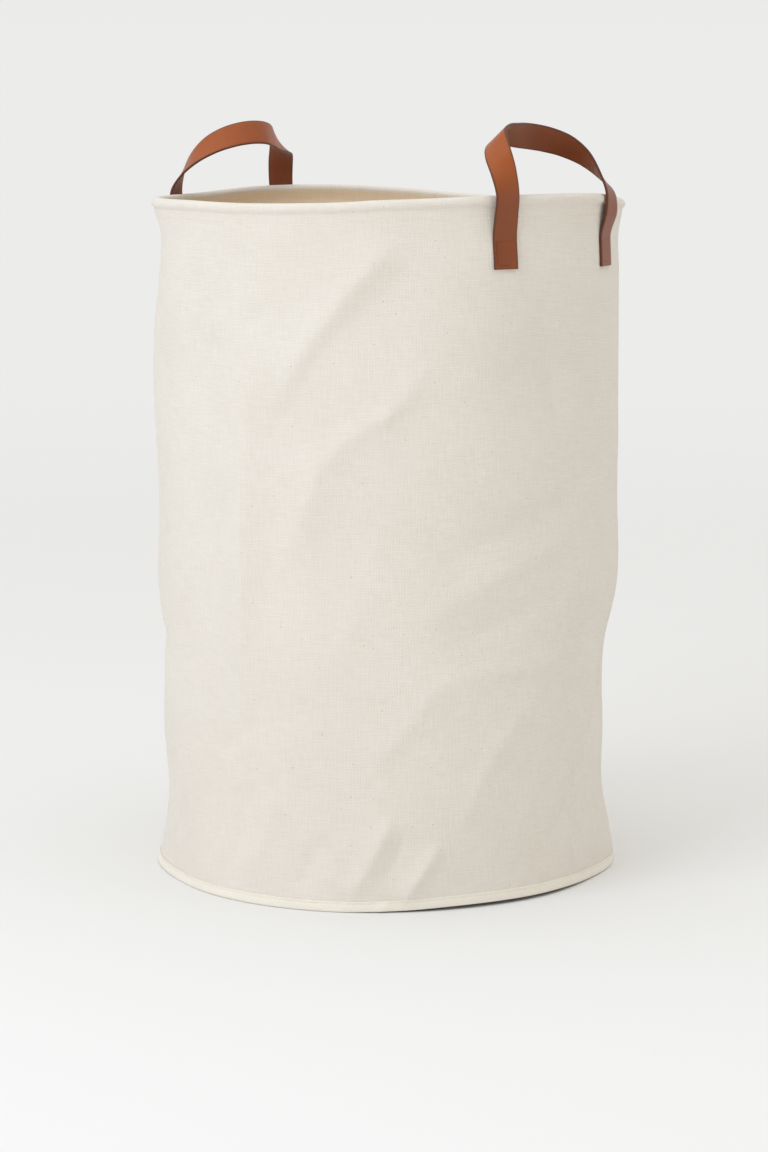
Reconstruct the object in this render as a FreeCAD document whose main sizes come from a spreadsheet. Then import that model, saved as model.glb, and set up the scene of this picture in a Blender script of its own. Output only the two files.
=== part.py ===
import FreeCAD, Part
import math
import os
import Sketcher

# Fabric storage bin: a stiffened canvas tube with a steel hoop in its rim hem, a bound base
# and two leather strap handles.
# Millimetres. +Z is up, the origin is the middle of the face it stands on. The handles are at
# +X (right) and -X (left), and the side seam of the canvas is at +Y (rear).

os.makedirs("parts", exist_ok=True)
doc = FreeCAD.newDocument("fabric_storage_bin")

# ---------------------------------------------------------------- driving dimensions

sizes = doc.addObject("Spreadsheet::Sheet", "sizes")

DRIVING = [
    ("bin_height", 580.0, "floor to the top of the rim"),
    ("wall_radius", 197.0, "outer face of the canvas wall"),
    ("canvas_gauge", 1.2, "heavy cotton canvas"),
    ("backing_gauge", 0.8, "laminate that stiffens the canvas"),
    ("tunnel_radius", 3.0, "inside of the hem that holds the hoop"),
    ("hem_row_drop", 17.0, "rim top to the row of stitches that closes the hem"),
    ("hem_depth", 22.0, "rim top to the raw edge of the hem"),
    ("wire_diameter", 4.0, "spring steel hoop"),
    ("wire_gap", 1.5, "between the two ends of the hoop"),
    ("ferrule_reach", 30.0, "length of the sleeve that joins the hoop"),
    ("ferrule_wall", 0.5, "wall of the sleeve"),
    ("ferrule_clearance", 0.1, "between the sleeve and the wire"),
    ("thread_gauge", 0.6, "stitching thread"),
    ("tape_width", 20.0, "tape over the side seam"),
    ("tape_gauge", 0.6, "seam tape cloth"),
    ("seam_row_spacing", 10.0, "between the two rows of the side seam"),
    ("flange_depth", 10.0, "bound seam below the base cloth"),
    ("binding_depth", 9.0, "height of the bias tape round the base"),
    ("binding_gauge", 0.8, "bias tape cloth"),
    ("base_row_inset", 1.4, "stitches below the top edge of the bias tape"),
    ("board_gauge", 2.0, "stiff board in the base"),
    ("board_clearance", 2.0, "board edge to the wall"),
    ("strap_width", 22.0, "leather strap"),
    ("strap_gauge", 2.0, "leather strap"),
    ("foot_angle", 18.8, "degrees, each strap end from the middle of its handle"),
    ("sewn_drop", 34.0, "rim top to the top of the sewn strap end"),
    ("sewn_depth", 25.0, "length of the sewn strap end"),
    ("strap_rise", 50.0, "rim top to the middle of the strap at its highest"),
    ("strap_standoff", 0.4, "free strap off the wall at its foot"),
    ("bend_gap", 1.2, "between the sewn end and the free strap"),
    ("stitch_inset", 3.0, "box of stitches inside the edge of the sewn end"),
    ("patch_margin", 4.0, "reinforcing patch beyond the sewn end"),
    ("patch_gauge", 1.0, "reinforcing patch cloth"),
]

for row, (alias, value, meaning) in enumerate(DRIVING, start=1):
    sizes.set(f"A{row}", alias)
    sizes.set(f"B{row}", str(value))
    sizes.set(f"C{row}", meaning)
    sizes.setAlias(f"B{row}", alias)
doc.recompute()

size = {alias: sizes.get(alias) for alias, _value, _meaning in DRIVING}


def bound(text):
    """Write a formula of plain size names as one that reads the spreadsheet."""
    words = []
    word = ""
    for letter in text + " ":
        if letter.isalnum() or letter in "_.":
            word += letter
            continue
        words.append(f"sizes.{word}" if word in size else word)
        words.append(letter)
        word = ""
    return "".join(words).strip()


def worth(text):
    """The number that a formula of size names gives now."""
    value = sizes.evalExpression(bound(text))
    return float(getattr(value, "Value", value))


# Places that several pieces share, each a formula of the sizes above.
ROLL_MIDDLE = "(wall_radius - canvas_gauge)"
ROLL_RADIUS = "(tunnel_radius + canvas_gauge)"
ROLL_LEVEL = f"(bin_height - {ROLL_RADIUS})"
HEM_ROW_LEVEL = "(bin_height - hem_row_drop)"
HEM_EDGE_LEVEL = "(bin_height - hem_depth)"
LINED_RADIUS = "(wall_radius - canvas_gauge - backing_gauge)"
SKIRT_RADIUS = "(wall_radius - 2 * canvas_gauge)"
BOARD_LEVEL = "(flange_depth + canvas_gauge)"
LINING_LEVEL = f"({BOARD_LEVEL} + board_gauge)"
FLOOR_LEVEL = f"({LINING_LEVEL} + backing_gauge)"
SEWN_TOP = "(bin_height - sewn_drop)"
SEWN_BOTTOM = f"({SEWN_TOP} - sewn_depth)"
STRAP_FACE = "(wall_radius + strap_gauge)"
FULL_TURN = "360"


def arc_degrees(length, radius):
    """Formula for the angle that a length takes up round the bin."""
    return f"(({length}) / ({radius}) * 180 / pi)"


# ---------------------------------------------------------------- sketching helpers


def new_body(label):
    body = doc.addObject("PartDesign::Body", label)
    body.Label = label
    return body


def upright_sketch(body, name):
    """A sketch on the body's own XZ plane: sketch x is the radius, sketch y is the height."""
    sketch = body.newObject("Sketcher::SketchObject", name)
    plane = [item for item in body.Origin.OriginFeatures if item.Role == "XZ_Plane"][0]
    sketch.AttachmentSupport = [(plane, "")]
    sketch.MapMode = "FlatFace"
    return sketch


def pin_point(sketch, geometry, end, radius, level):
    """Hold a point at a radius and a level, both formulas of the sizes."""
    if worth(radius) == 0:
        sketch.addConstraint(Sketcher.Constraint("PointOnObject", geometry, end, -2))
    else:
        across = sketch.addConstraint(
            Sketcher.Constraint("DistanceX", geometry, end, worth(radius))
        )
        sketch.setExpression(f"Constraints[{across}]", bound(radius))
    if worth(level) == 0:
        sketch.addConstraint(Sketcher.Constraint("PointOnObject", geometry, end, -1))
    else:
        upward = sketch.addConstraint(
            Sketcher.Constraint("DistanceY", geometry, end, worth(level))
        )
        sketch.setExpression(f"Constraints[{upward}]", bound(level))


def draw_outline(sketch, corners):
    """Draw a closed outline through (radius, level) corners and pin each corner."""
    points = [FreeCAD.Vector(worth(radius), worth(level), 0) for radius, level in corners]
    first = sketch.GeometryCount
    count = len(points)
    for index, point in enumerate(points):
        sketch.addGeometry(Part.LineSegment(point, points[(index + 1) % count]), False)
    for index in range(count):
        following = first + (index + 1) % count
        sketch.addConstraint(Sketcher.Constraint("Coincident", first + index, 2, following, 1))
    for index, (radius, level) in enumerate(corners):
        pin_point(sketch, first + index, 1, radius, level)


def draw_circle(sketch, middle, level, radius):
    centre = FreeCAD.Vector(worth(middle), worth(level), 0)
    axis = FreeCAD.Vector(0, 0, 1)
    circle = sketch.addGeometry(Part.Circle(centre, axis, worth(radius)), False)
    pin_point(sketch, circle, 3, middle, level)
    spread = sketch.addConstraint(Sketcher.Constraint("Radius", circle, worth(radius)))
    sketch.setExpression(f"Constraints[{spread}]", bound(radius))


def spin(body, kind, sketch, degrees):
    """Turn a sketch about the bin's axis, half the angle to each side of +X."""
    feature = body.newObject(f"PartDesign::{kind}", f"{sketch.Name}_{kind.lower()}")
    feature.Profile = sketch
    feature.ReferenceAxis = (sketch, ["V_Axis"])
    feature.Midplane = True
    feature.setExpression("Angle", bound(degrees))
    sketch.Visibility = False
    doc.recompute()
    return feature


def cut_round(body, sketch, degrees):
    """Groove a sketch out of the body and make sure that it did remove material."""
    before = body.Shape.Volume
    spin(body, "Groove", sketch, degrees)
    if body.Shape.Volume >= before:
        raise RuntimeError(f"{sketch.Name} removed nothing from {body.Label}")


def face_round(body, degrees):
    """Turn a finished body about the bin's axis."""
    body.Placement = FreeCAD.Placement(
        FreeCAD.Vector(0, 0, 0), FreeCAD.Rotation(FreeCAD.Vector(0, 0, 1), worth(degrees))
    )
    body.setExpression("Placement.Rotation.Angle", bound(degrees))


def box_outline(inner, outer, low, high):
    """Corners of an upright rectangle between two radii and two levels."""
    return [(inner, low), (outer, low), (outer, high), (inner, high)]


def ring_piece(label, outlines, degrees=FULL_TURN, facing="0"):
    """One piece turned about the bin's axis from one or more closed outlines."""
    body = new_body(label)
    body.AllowCompound = len(outlines) > 1
    sketch = upright_sketch(body, f"{label}_outline")
    for corners in outlines:
        draw_outline(sketch, corners)
    spin(body, "Revolution", sketch, degrees)
    face_round(body, facing)
    return body


# ---------------------------------------------------------------- canvas tube and rim

REAR = "90"


def canvas_wall():
    """The outer canvas, from the bound seam up and over the hoop to the edge of the hem."""
    body = new_body("canvas_wall")
    inside = "(wall_radius - canvas_gauge)"
    flap = "(wall_radius - 2 * canvas_gauge)"
    cloth = upright_sketch(body, "wall_cloth")
    draw_outline(
        cloth,
        [
            ("wall_radius", "binding_gauge"),
            ("wall_radius", HEM_ROW_LEVEL),
            (f"({ROLL_MIDDLE} + {ROLL_RADIUS})", ROLL_LEVEL),
            (f"({ROLL_MIDDLE} - {ROLL_RADIUS})", ROLL_LEVEL),
            (flap, HEM_ROW_LEVEL),
            (flap, HEM_EDGE_LEVEL),
            (inside, HEM_EDGE_LEVEL),
            (inside, "binding_gauge"),
        ],
    )
    spin(body, "Revolution", cloth, FULL_TURN)
    roll = upright_sketch(body, "rim_roll")
    draw_circle(roll, ROLL_MIDDLE, ROLL_LEVEL, ROLL_RADIUS)
    spin(body, "Revolution", roll, FULL_TURN)
    tunnel = upright_sketch(body, "hem_tunnel")
    draw_circle(tunnel, ROLL_MIDDLE, ROLL_LEVEL, "tunnel_radius")
    cut_round(body, tunnel, FULL_TURN)
    taper = upright_sketch(body, "hem_taper")
    draw_outline(
        taper,
        [
            (ROLL_MIDDLE, HEM_ROW_LEVEL),
            (f"({ROLL_MIDDLE} + tunnel_radius)", ROLL_LEVEL),
            (f"({ROLL_MIDDLE} - tunnel_radius)", ROLL_LEVEL),
        ],
    )
    cut_round(body, taper, FULL_TURN)
    return body


def rim_hoop():
    """A round wire bent to a ring, with its two ends almost meeting at the rear."""
    body = new_body("rim_hoop")
    section = upright_sketch(body, "wire_section")
    draw_circle(section, ROLL_MIDDLE, ROLL_LEVEL, "wire_diameter / 2")
    gap = arc_degrees("wire_gap", ROLL_MIDDLE)
    spin(body, "Revolution", section, f"({FULL_TURN} - {gap})")
    face_round(body, f"-{REAR}")
    return body


def hoop_ferrule():
    """The pressed sleeve over the two ends of the hoop."""
    body = new_body("hoop_ferrule")
    bore = "(wire_diameter / 2 + ferrule_clearance)"
    reach = arc_degrees("ferrule_reach", ROLL_MIDDLE)
    sleeve = upright_sketch(body, "sleeve_section")
    draw_circle(sleeve, ROLL_MIDDLE, ROLL_LEVEL, f"({bore} + ferrule_wall)")
    spin(body, "Revolution", sleeve, reach)
    hollow = upright_sketch(body, "sleeve_bore")
    draw_circle(hollow, ROLL_MIDDLE, ROLL_LEVEL, bore)
    cut_round(body, hollow, reach)
    face_round(body, REAR)
    return body


def hem_stitching():
    """The needle thread outside and the bobbin thread inside, one ring each."""
    low = f"({HEM_ROW_LEVEL} - thread_gauge)"
    flap = "(wall_radius - 2 * canvas_gauge)"
    outside = box_outline("wall_radius", "(wall_radius + thread_gauge)", low, HEM_ROW_LEVEL)
    inside = box_outline(f"({flap} - thread_gauge)", flap, low, HEM_ROW_LEVEL)
    return ring_piece("hem_stitching", [outside, inside])


def wall_backing():
    """The laminate on the inner face of the canvas, between the base and the hem."""
    face = "(wall_radius - canvas_gauge)"
    return ring_piece(
        "wall_backing", [box_outline(LINED_RADIUS, face, BOARD_LEVEL, HEM_EDGE_LEVEL)]
    )


def side_seam_tape():
    inner = f"({LINED_RADIUS} - tape_gauge)"
    return ring_piece(
        "side_seam_tape",
        [box_outline(inner, LINED_RADIUS, FLOOR_LEVEL, HEM_EDGE_LEVEL)],
        arc_degrees("tape_width", LINED_RADIUS),
        REAR,
    )


def side_seam_stitching():
    """Two straight rows of thread up the rear of the wall, as one node."""
    rows = []
    for name, side in (("left", "-"), ("right", "")):
        row = doc.addObject("Part::Box", f"side_seam_{name}_row")
        row.setExpression("Length", bound("thread_gauge"))
        row.setExpression("Width", bound("thread_gauge"))
        row.setExpression("Height", bound(f"{HEM_ROW_LEVEL} - thread_gauge - flange_depth"))
        offset = f"({side}seam_row_spacing / 2)"
        row.setExpression("Placement.Base.x", bound(f"{offset} - thread_gauge / 2"))
        row.setExpression("Placement.Base.y", bound("wall_radius"))
        row.setExpression("Placement.Base.z", bound("flange_depth"))
        rows.append(row)
    both = doc.addObject("Part::MultiFuse", "side_seam_stitching")
    both.Shapes = rows
    both.Label = "side_seam_stitching"
    return both


# ---------------------------------------------------------------- base


def base_canvas():
    """The base cloth, with its edge turned down inside the wall to be bound with it."""
    face = "(wall_radius - canvas_gauge)"
    return ring_piece(
        "base_canvas",
        [
            [
                ("0", "flange_depth"),
                (SKIRT_RADIUS, "flange_depth"),
                (SKIRT_RADIUS, "binding_gauge"),
                (face, "binding_gauge"),
                (face, BOARD_LEVEL),
                ("0", BOARD_LEVEL),
            ]
        ],
    )


def disc_piece(label, radius, gauge, level):
    disc = doc.addObject("Part::Cylinder", label)
    disc.Label = label
    disc.setExpression("Radius", bound(radius))
    disc.setExpression("Height", bound(gauge))
    disc.setExpression("Placement.Base.z", bound(level))
    return disc


def base_board():
    return disc_piece(
        "base_board", f"{LINED_RADIUS} - board_clearance", "board_gauge", BOARD_LEVEL
    )


def base_lining():
    return disc_piece("base_lining", LINED_RADIUS, "backing_gauge", LINING_LEVEL)


def base_binding():
    """Bias tape folded under the raw edges of the wall and the base."""
    outer = "(wall_radius + binding_gauge)"
    inner = f"({SKIRT_RADIUS} - binding_gauge)"
    return ring_piece(
        "base_binding",
        [
            [
                (inner, "0"),
                (outer, "0"),
                (outer, "binding_depth"),
                ("wall_radius", "binding_depth"),
                ("wall_radius", "binding_gauge"),
                (SKIRT_RADIUS, "binding_gauge"),
                (SKIRT_RADIUS, "binding_depth"),
                (inner, "binding_depth"),
            ]
        ],
    )


def base_binding_stitching():
    high = "(binding_depth - base_row_inset)"
    low = f"({high} - thread_gauge)"
    outer = "(wall_radius + binding_gauge)"
    inner = f"({SKIRT_RADIUS} - binding_gauge)"
    outside = box_outline(outer, f"({outer} + thread_gauge)", low, high)
    inside = box_outline(f"({inner} - thread_gauge)", inner, low, high)
    return ring_piece("base_binding_stitching", [outside, inside])


# ---------------------------------------------------------------- handles

# The free strap leaves the wall flat, bows out past the rim, rolls over inward and crosses to
# the other foot with its width upright. Each station of its middle line gives
#   lean:   millimetres further from the bin's axis than the strap's foot (less is inward)
#   across: share of the way from the middle of the handle to a foot
#   rise:   share of strap_rise above the rim, or of sewn_drop below it
#   width direction, from one long edge to the other, as parts along (X, Y, Z)
STRAP_STATIONS = [
    (4, -1.01, -0.52, (-0.31, -0.95, 0.00)),
    (7, -1.03, 0.00, (-0.29, -0.96, 0.00)),
    (4, -1.03, 0.28, (-0.31, -0.95, -0.02)),
    (-2, -1.00, 0.52, (-0.49, -0.86, -0.12)),
    (-10, -0.94, 0.72, (-0.63, -0.72, -0.29)),
    (-20, -0.85, 0.86, (-0.68, -0.52, -0.52)),
    (-29, -0.72, 0.94, (-0.59, -0.31, -0.74)),
    (-37, -0.55, 0.98, (-0.42, -0.14, -0.90)),
    (-43, -0.36, 1.00, (-0.25, -0.05, -0.97)),
    (-46, -0.15, 1.00, (-0.21, -0.04, -0.98)),
    (-45, 0.07, 0.99, (-0.32, -0.02, -0.95)),
    (-42, 0.27, 0.96, (-0.49, 0.03, -0.87)),
    (-36, 0.47, 0.91, (-0.61, 0.10, -0.79)),
    (-29, 0.64, 0.82, (-0.68, 0.18, -0.71)),
    (-21, 0.78, 0.70, (-0.74, 0.33, -0.58)),
    (-12, 0.88, 0.54, (-0.73, 0.55, -0.39)),
    (-3, 0.95, 0.36, (-0.61, 0.78, -0.17)),
    (6, 1.00, 0.14, (-0.37, 0.93, 0.02)),
    (7, 1.01, -0.21, (-0.33, 0.94, 0.02)),
    (4, 1.01, -0.60, (-0.32, 0.95, 0.00)),
]


def strap_line():
    """Middle points and width directions of the free strap, from front foot to rear foot."""
    turn = math.radians(size["foot_angle"])
    foot_radius = size["wall_radius"] + size["strap_standoff"] + size["strap_gauge"] / 2
    foot_x = foot_radius * math.cos(turn)
    foot_y = foot_radius * math.sin(turn)
    rim = size["bin_height"]
    foot_level = rim - size["sewn_drop"] + size["bend_gap"]
    sideways = FreeCAD.Vector(math.sin(turn), math.cos(turn), 0)
    places = [FreeCAD.Vector(foot_x, -foot_y, foot_level)]
    widths = [FreeCAD.Vector(-sideways.x, -sideways.y, 0)]
    for lean, across, rise, direction in STRAP_STATIONS:
        reach = size["strap_rise"] if rise > 0 else size["sewn_drop"]
        places.append(FreeCAD.Vector(foot_x + lean, foot_y * across, rim + reach * rise))
        widths.append(FreeCAD.Vector(*direction).normalize())
    places.append(FreeCAD.Vector(foot_x, foot_y, foot_level))
    widths.append(FreeCAD.Vector(-sideways.x, sideways.y, 0))
    return places, widths


def strap_section(place, width, along):
    """The strap's rectangle at one station, square to the way the strap runs."""
    along = FreeCAD.Vector(along).normalize()
    width = (width - along * width.dot(along)).normalize()
    face = along.cross(width)
    half_width = width * (size["strap_width"] / 2)
    half_gauge = face * (size["strap_gauge"] / 2)
    corners = [
        place + half_width + half_gauge,
        place - half_width + half_gauge,
        place - half_width - half_gauge,
        place + half_width - half_gauge,
    ]
    return Part.makePolygon(corners + corners[:1])


def handle_strap(label, facing):
    """The free part of a handle: one leather strip, lofted through its stations."""
    places, widths = strap_line()
    upward = FreeCAD.Vector(0, 0, 1)
    ways = [upward]
    for before, after in zip(places, places[2:]):
        ways.append(after - before)
    ways.append(-upward)
    sections = []
    for place, width, along in zip(places, widths, ways):
        sections.append(strap_section(place, width, along))
    strap = doc.addObject("Part::Feature", label)
    strap.Label = label
    strap.Shape = Part.makeLoft(sections, True, True)
    strap.Placement = FreeCAD.Placement(
        FreeCAD.Vector(0, 0, 0), FreeCAD.Rotation(FreeCAD.Vector(0, 0, 1), facing)
    )
    return strap


def sewn_tab(label, facing):
    """The sewn end of a strap, lying flat on the wall."""
    outline = box_outline("wall_radius", STRAP_FACE, SEWN_BOTTOM, SEWN_TOP)
    return ring_piece(label, [outline], arc_degrees("strap_width", "wall_radius"), facing)


def tab_stitching(label, facing):
    """A box of thread on the face of a sewn end."""
    body = new_body(label)
    outer = f"({STRAP_FACE} + thread_gauge)"
    low = f"({SEWN_BOTTOM} + stitch_inset)"
    high = f"({SEWN_TOP} - stitch_inset)"
    breadth = "(strap_width - 2 * stitch_inset)"
    box = upright_sketch(body, f"{label}_box")
    draw_outline(box, box_outline(STRAP_FACE, outer, low, high))
    spin(body, "Revolution", box, arc_degrees(breadth, STRAP_FACE))
    window = upright_sketch(body, f"{label}_window")
    draw_outline(
        window,
        box_outline(
            f"({STRAP_FACE} - thread_gauge)",
            f"({outer} + thread_gauge)",
            f"({low} + thread_gauge)",
            f"({high} - thread_gauge)",
        ),
    )
    cut_round(body, window, arc_degrees(f"({breadth} - 2 * thread_gauge)", STRAP_FACE))
    face_round(body, facing)
    return body


def backing_patch(label, facing):
    """The patch inside the wall that spreads the pull of a sewn end."""
    inner = f"({LINED_RADIUS} - patch_gauge)"
    low = f"({SEWN_BOTTOM} - patch_margin)"
    high = f"({SEWN_TOP} + patch_margin)"
    breadth = "(strap_width + 2 * patch_margin)"
    outline = box_outline(inner, LINED_RADIUS, low, high)
    return ring_piece(label, [outline], arc_degrees(breadth, LINED_RADIUS), facing)


# Where each strap end is sewn, in degrees round the bin from +X.
HANDLES = [
    ("right_handle", 0.0, [("front", "-foot_angle"), ("rear", "foot_angle")]),
    ("left_handle", 180.0, [("front", "180 + foot_angle"), ("rear", "180 - foot_angle")]),
]

pieces = [
    canvas_wall(),
    wall_backing(),
    rim_hoop(),
    hoop_ferrule(),
    hem_stitching(),
    side_seam_tape(),
    side_seam_stitching(),
    base_canvas(),
    base_board(),
    base_lining(),
    base_binding(),
    base_binding_stitching(),
]
for handle, facing, feet in HANDLES:
    pieces.append(handle_strap(f"{handle}_strap", facing))
    for end, foot_facing in feet:
        pieces.append(sewn_tab(f"{handle}_{end}_tab", foot_facing))
        pieces.append(tab_stitching(f"{handle}_{end}_stitching", foot_facing))
        pieces.append(backing_patch(f"{handle}_{end}_patch", foot_facing))

doc.recompute()

# ---------------------------------------------------------------- checks and files

for item in doc.Objects:
    if "Invalid" in item.State or "Error" in item.State:
        raise RuntimeError(f"{item.Label} failed to compute")
for piece in pieces:
    if piece.Shape.isNull() or not piece.Shape.isValid():
        raise RuntimeError(f"{piece.Label} has no valid shape")

for piece in pieces:
    piece.Shape.exportStep(f"parts/{piece.Label}.step")
    reach = piece.Shape.BoundBox
    print(
        f"{piece.Label}: {len(piece.Shape.Solids)} solid(s), {piece.Shape.Volume:.0f} mm3, "
        f"z {reach.ZMin:.1f} to {reach.ZMax:.1f}"
    )
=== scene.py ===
# %% [markdown]
# # A canvas storage bin with leather handles
#
# The bin is a tall tube of stiff cotton canvas on a round base. A wire hoop in
# the rolled rim keeps the mouth open, bias tape binds the base, and a leather
# strap is sewn to each side as a handle.
#
# The engineering model gives every size and says what moves. This notebook
# loads it as a fixed frame and makes the cloth, thread, metal and leather that
# the eye sees; every piece but the two leather straps rides on the model's bin body.

# %% Load the fixed frame
from functools import partial

import bmesh
import bpy
import numpy as np
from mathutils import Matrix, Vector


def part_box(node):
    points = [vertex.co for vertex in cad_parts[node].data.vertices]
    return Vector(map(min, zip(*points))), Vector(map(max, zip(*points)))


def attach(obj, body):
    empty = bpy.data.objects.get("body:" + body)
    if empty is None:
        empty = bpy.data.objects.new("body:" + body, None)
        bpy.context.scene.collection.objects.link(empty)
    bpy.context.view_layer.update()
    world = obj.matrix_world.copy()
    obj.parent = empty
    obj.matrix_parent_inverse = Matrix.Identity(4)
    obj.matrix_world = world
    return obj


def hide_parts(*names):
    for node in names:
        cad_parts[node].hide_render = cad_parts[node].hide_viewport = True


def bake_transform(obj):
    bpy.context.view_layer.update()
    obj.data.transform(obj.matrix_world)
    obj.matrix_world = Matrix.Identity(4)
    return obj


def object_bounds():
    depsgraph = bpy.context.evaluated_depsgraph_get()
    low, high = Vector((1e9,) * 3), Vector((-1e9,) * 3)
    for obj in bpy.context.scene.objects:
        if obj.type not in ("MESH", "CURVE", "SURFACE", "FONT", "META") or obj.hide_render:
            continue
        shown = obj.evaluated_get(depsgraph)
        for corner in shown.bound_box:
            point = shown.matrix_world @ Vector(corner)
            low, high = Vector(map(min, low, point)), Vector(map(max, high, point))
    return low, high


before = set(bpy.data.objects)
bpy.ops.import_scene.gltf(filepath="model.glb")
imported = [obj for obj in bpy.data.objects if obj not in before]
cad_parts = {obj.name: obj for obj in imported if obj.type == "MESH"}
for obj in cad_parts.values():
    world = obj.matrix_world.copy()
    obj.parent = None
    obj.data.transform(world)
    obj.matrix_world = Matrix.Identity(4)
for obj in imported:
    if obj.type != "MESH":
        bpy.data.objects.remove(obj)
CAD_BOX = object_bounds()

# %% [markdown]
# ## Sizes
#
# A sewn thing is described by its radii, its heights and its cloth gauges.
# The main radii and heights are read from the frame, so that the pieces fit
# the model; the folds, the straps' path and some smaller heights are given in mm.
# Gauges, the thickness of each sheet, are the values a maker would order the
# material by.

# %% Read the radii and heights
MM = 0.001
CANVAS_GAUGE = 1.2 * MM
BACKING_GAUGE = 0.8 * MM
TAPE_GAUGE = 0.6 * MM
PATCH_GAUGE = 1.0 * MM
STRAP_GAUGE = 2.0 * MM
STRAP_WIDTH = 22.0 * MM
SEAT = 0.05 * MM  # air left between two layers that touch


def heights(node):
    """The lowest and the highest z of a node."""
    return [corner.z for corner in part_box(node)]


BINDING_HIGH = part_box("base_binding")[1]
WALL_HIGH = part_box("canvas_wall")[1]
LINING_LOW, LINING_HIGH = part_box("base_lining")
BOARD_LOW, BOARD_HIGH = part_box("base_board")
CLOTH_LOW, CLOTH_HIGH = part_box("base_canvas")
WALL_R = CLOTH_HIGH.y + CANVAS_GAUGE  # outer face of the wall
RIM_TOP = WALL_HIGH.z
ROLL_R = WALL_HIGH.y - WALL_R + CANVAS_GAUGE  # outside of the rolled rim
ROLL_CENTRE = (WALL_HIGH.y - ROLL_R, RIM_TOP - ROLL_R)
HEM_ROW = sum(heights("hem_stitching")) / 2
print(f"wall radius {WALL_R / MM:.1f} mm, rim at {RIM_TOP / MM:.1f} mm")
print(f"rolled rim radius {ROLL_R / MM:.1f} mm, hem row at {HEM_ROW / MM:.1f} mm")

# %% [markdown]
# ## How canvas settles
#
# A canvas tube is never a true cylinder. It was folded flat for shipping, it
# carries its own weight, and its hoop is a thin wire, so the mouth waves up and
# down, the wall pulls in above the base, and soft creases cross it.
#
# Cloth simulation could make creases, but it can't be told where to put them.
# Stiff canvas holds its creases, so they are listed here: one table of
# broad hollows, a list of folds drawn as lines on the wall, and some fine,
# seeded unevenness. Every layer of the bin is passed through the same function,
# so the layers move together and never cut through each other.

# %% A smooth line through a few hand-set points
def line_weights(places, at, round_trip=None):
    """How much each of the given places counts at each point of `at`."""
    places = np.asarray(places, float)
    share = np.eye(len(places))
    if round_trip:
        share = share[[-2, -1, *range(len(places)), 0, 1]]
        places = np.concatenate(
            [places[-2:] - round_trip, places, places[:2] + round_trip]
        )
    slope = np.gradient(share, places, axis=0)
    k = np.clip(np.searchsorted(places, at) - 1, 0, len(places) - 2)
    step = (places[k + 1] - places[k])[..., None]
    t = np.clip((np.asarray(at)[..., None] - places[k][..., None]) / step, 0, 1)
    return (
        (2 * t**3 - 3 * t**2 + 1) * share[k]
        + (t**3 - 2 * t**2 + t) * step * slope[k]
        + (3 * t**2 - 2 * t**3) * share[k + 1]
        + (t**3 - t**2) * step * slope[k + 1]
    )


# Rim height in mm above or below level, by azimuth in degrees from +X.
RIM_WAVE = {
    -168: -5.4, -140: -4.4, -121: -3.3, -105: -2.2, -82: -2.0, -70: -1.0,
    -57: 0.7, -49: 2.5, -41: 3.5, -26: 5.3, -13: 6.0, 13: 4.4, 36: -2.6,
    70: -8.0, 110: -9.0, 129: -4.3, 150: -1.0, 169: -1.5,
}
# Height of the base edge off the floor in mm, where the bottom has warped.
BASE_WAVE = {
    -170: 0.0, -130: 0.3, -110: 0.0, -80: 0.0, -58: 0.0, -44: 1.2, -30: 2.7,
    -12: 3.0, 5: 2.4, 20: 1.0, 36: 0.2, 70: 0.0, 120: 0.6, 150: 0.2,
}
# Wall pushed out (+) or pulled in (-) in mm: one row per azimuth, one column
# per height in HOLLOW_HEIGHTS.
HOLLOW_HEIGHTS = [0, 12, 32, 65, 120, 200, 245, 330, 400, 470, 520, 552, 571, 582]
HOLLOWS = {
    -137: [1.3, -0.6, -5, -9, -5, -5.5, -0.5, -1.5, 2.5, 2.2, -3, -3.5, 2, 0],
    -110: [-3, -3.5, -4, -4, -2, -1, 0, 1, 2, 1, -1, -1.5, 0.6, 0],
    -97: [-1, -1, -1, -2, -2.5, -2.5, -2.5, -2.5, -2, -1.5, -1, -0.5, 0.3, 0],
    -82: [0, 0, 0, 0, 1, 2.5, 3.5, 3.5, 2.5, 1, 0, 0, 0.3, 0],
    -60: [-1, -1, -1, -1, 0.5, 2, 2, 1, 0, 0, 0, -0.5, 0.3, 0],
    -45: [-4, -4, -3.5, -2, 0, 2, 2, 1, 1, 1, 0, -0.5, 0.3, 0],
    -25: [-8, -8, -7, -5, -2, 0, 1, 1, 1, 2, 1, 0, 0.3, 0],
    -5: [-9, -9, -9, -6, -3, -1, 0, 0, -1, 0, 0, -0.5, 0.3, 0],
    20: [-9, -9.5, -10, -10, -7, -4, 0, 0, 0, 0, 0, -1, 0.5, 0],
    43: [1, 0.8, -2, -8.5, -9.4, -9, 0.6, 0.6, 0.4, -0.1, -0.6, -1.4, 1.5, 0],
    75: [-1, -2, -4, -6, -6, -3, 0, 2, 2, 1, 0, -1, 0.5, 0],
    110: [-2, -3, -5, -5, -3, 0, 2, 3, 2, 0, -2, -2, 0.5, 0],
    145: [0, -1, -3, -6, -4, -1, 1, 2, 1, -1, -2, -2, 0.5, 0],
    180: [-1, -2, -4, -7, -6, -4, -1, 0, 1, 1, -1, -2, 0.5, 0],
}


def wave(table, azimuth):
    """Reads RIM_WAVE or BASE_WAVE smoothly round the bin, in metres."""
    values = np.array(list(table.values())) * MM
    return line_weights(list(table), azimuth, 360) @ values


# %% [markdown]
# A fold has a crest line, a height and a reach on either side. Near the crest
# it is rounded like bent canvas, and it runs out softly, so the profile is an
# exponential with a blunted tip rather than a bell. A crest of 1 or 2 mm looks
# like a pressed crease, and one of 8 mm like a soft buckle.

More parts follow.
